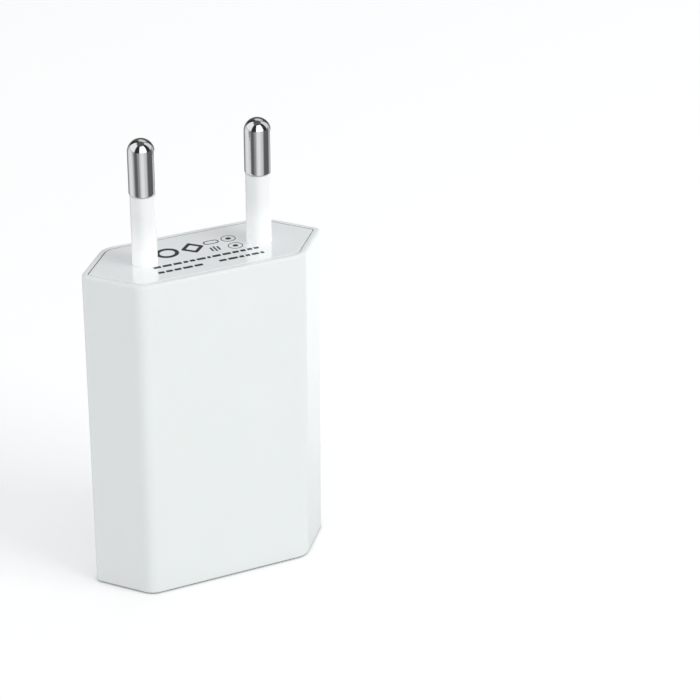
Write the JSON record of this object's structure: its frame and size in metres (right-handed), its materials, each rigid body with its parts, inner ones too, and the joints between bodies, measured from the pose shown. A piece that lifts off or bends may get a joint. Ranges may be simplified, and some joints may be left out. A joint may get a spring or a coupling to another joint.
{
  "type": "usb wall charger",
  "caption": "Slim six-sided plug-in charger with fixed round mains pins on one end face and a USB-A socket in the other.",
  "frame": {"origin": "centre of the port face, which the charger stands on", "axes": "+Z from the port face along the pins, X across the two side edges, Y across the two broad faces"},
  "size_m": [0.0374, 0.015, 0.0706],
  "materials": {
    "housing_plastic": "white, low-gloss moulded plastic",
    "cap_plastic": "white, high-gloss moulded plastic",
    "sleeve_nylon": "white, satin",
    "nickel_plate": "bright nickel plate over brass",
    "shell_steel": "bright tinned steel sheet",
    "tongue_plastic": "white moulded plastic",
    "contact_plate": "gold-flashed copper alloy",
    "board_laminate": "green solder mask on glass laminate",
    "ferrite": "dark grey sintered ferrite",
    "bobbin_plastic": "black phenolic",
    "chip_epoxy": "black moulding epoxy",
    "coil_wire": "enamelled copper wire",
    "coil_tape": "yellow polyester film",
    "black_can_sleeve": "black printed-type shrink sleeve, left plain",
    "green_can_sleeve": "dark green shrink sleeve, left plain",
    "blue_ceramic": "dipped blue lacquer",
    "grey_lacquer": "grey lacquer",
    "chip_ceramic": "grey ceramic",
    "green_lacquer": "green lacquer",
    "brown_wire": "brown insulation",
    "blue_wire": "blue insulation",
    "shrink_film": "black shrink tube",
    "amber_film": "amber polyimide film",
    "legend_ink": "dark grey pad-printing ink, on the pin cap only"
  },
  "bodies": {
    "root": {"housing": "housing_plastic", "pin_cap": "cap_plastic", "mains_pin_left": "nickel_plate", "mains_pin_right": "nickel_plate", "pin_sleeve_left": "sleeve_nylon", "pin_sleeve_right": "sleeve_nylon", "lead_wire_left": "brown_wire", "lead_wire_right": "blue_wire", "shrink_tube_left": "shrink_film", "shrink_tube_right": "shrink_film", "output_capacitor_left": "green_can_sleeve", "output_capacitor_right": "green_can_sleeve", "output_diode": "chip_epoxy", "load_resistor": "chip_epoxy", "feedback_resistor": "chip_epoxy", "transformer_core_left": "ferrite", "transformer_core_right": "ferrite", "transformer_bobbin": "bobbin_plastic", "transformer_winding": "coil_wire", "transformer_tape": "coil_tape", "y_capacitor": "blue_ceramic", "controller_chip": "chip_epoxy", "snubber_capacitor": "chip_ceramic", "snubber_resistor": "chip_epoxy", "supply_capacitor": "black_can_sleeve", "bulk_capacitor_left": "black_can_sleeve", "bulk_capacitor_right": "black_can_sleeve", "bridge_rectifier": "chip_epoxy", "fusible_resistor": "grey_lacquer", "filter_choke": "green_lacquer", "circuit_board": "board_laminate", "usb_shell": "shell_steel", "usb_tongue": "tongue_plastic", "usb_contact_1": "contact_plate", "usb_contact_2": "contact_plate", "usb_contact_3": "contact_plate", "usb_contact_4": "contact_plate", "insulating_film": "amber_film"}
  },
  "joints": []
}
